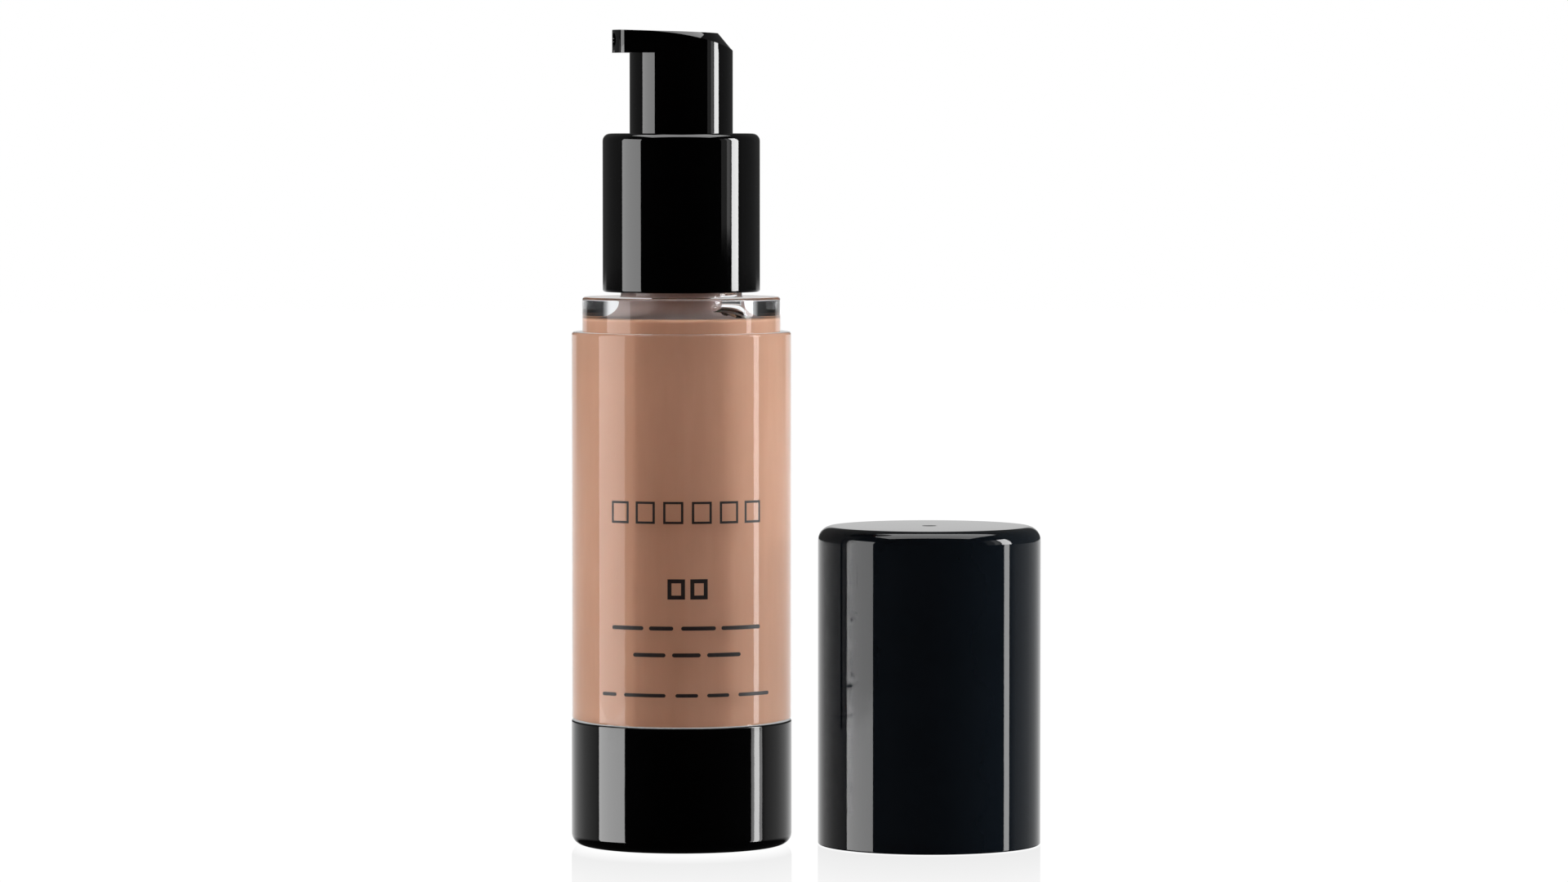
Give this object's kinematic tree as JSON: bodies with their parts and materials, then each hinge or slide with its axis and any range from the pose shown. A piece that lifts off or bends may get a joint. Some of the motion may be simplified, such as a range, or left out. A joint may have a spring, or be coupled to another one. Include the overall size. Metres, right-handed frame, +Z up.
{
  "type": "foundation pump bottle",
  "caption": "Upright round pump bottle of liquid foundation, with a thick clear wall, glossy black collar, spout head and base, and its black overcap standing beside it.",
  "frame": {"origin": "centre of the flat underside of the bottle's base, on the surface that the bottle and its overcap stand on", "axes": "+Z up along the bottle's axis, -Y towards the printed front, +X towards the overcap; at rest the spout points to -X, turned 14.5 degrees towards the front"},
  "size_m": [0.0729, 0.0346, 0.1262],
  "materials": {
    "black_gloss": "polished black moulding, mirror-like",
    "clear_plastic": "clear polished plastic, alpha stands in for refraction",
    "foundation": "smooth opaque beige-brown cream",
    "natural_polypropylene": "milky uncoloured moulding",
    "white_polyethylene": "soft white moulding",
    "gasket_foam": "fine white foam",
    "spring_steel": "drawn stainless wire and ball"
  },
  "bodies": {
    "bottle": {"bottle_body": "clear_plastic", "base_cup": "black_gloss", "foundation_column": "foundation", "foundation_neck": "foundation"},
    "follower": {"follower_piston": "white_polyethylene"},
    "pump_engine": {"pump_housing": "natural_polypropylene", "pump_retainer": "natural_polypropylene", "neck_gasket": "gasket_foam", "return_spring": "spring_steel"},
    "collar": {"collar_sleeve": "black_gloss", "closure_ring": "natural_polypropylene"},
    "stem": {"pump_stem": "natural_polypropylene", "stem_foot": "natural_polypropylene"},
    "seal": {"stem_piston": "white_polyethylene"},
    "ball": {"inlet_ball": "spring_steel"},
    "head": {"actuator_head": "black_gloss"},
    "overcap": {"overcap_shell": "black_gloss", "overcap_liner": "natural_polypropylene"}
  },
  "joints": [
    {"name": "cap_lift", "type": "slide", "parent": "bottle", "child": "overcap", "axis": [0, 0, 1], "range_m": [0, 0.13]},
    {"name": "pump_rise", "type": "slide", "parent": "bottle", "child": "pump_engine", "axis": [0, 0, 1], "range_m": [0, 0.004]},
    {"name": "collar_turn", "type": "hinge", "parent": "pump_engine", "child": "collar", "pos_m": [0, 0, 0.0925], "axis": [0, 0, 1], "range_deg": [0, 450]},
    {"name": "pump_stroke", "type": "slide", "parent": "pump_engine", "child": "stem", "axis": [0, 0, -1], "range_m": [0, 0.006], "stiffness_N_per_m": 400, "springref_m": -0.001, "deforming": ["return_spring"]},
    {"name": "head_turn", "type": "hinge", "parent": "stem", "child": "head", "pos_m": [0, 0, 0.1125], "axis": [0, 0, 1], "continuous": true},
    {"name": "seal_slip", "type": "slide", "parent": "stem", "child": "seal", "axis": [0, 0, 1], "range_m": [0, 0.0012]},
    {"name": "ball_lift", "type": "slide", "parent": "pump_engine", "child": "ball", "axis": [0, 0, 1], "range_m": [0, 0.0008]},
    {"name": "follower_rise", "type": "slide", "parent": "bottle", "child": "follower", "axis": [0, 0, 1], "range_m": [0, 0.0654], "deforming": ["foundation_column"]}
  ],
  "couplings": [
    {"joint": "pump_rise", "follows": "collar_turn", "m_per_rad": 0.00050532}
  ]
}
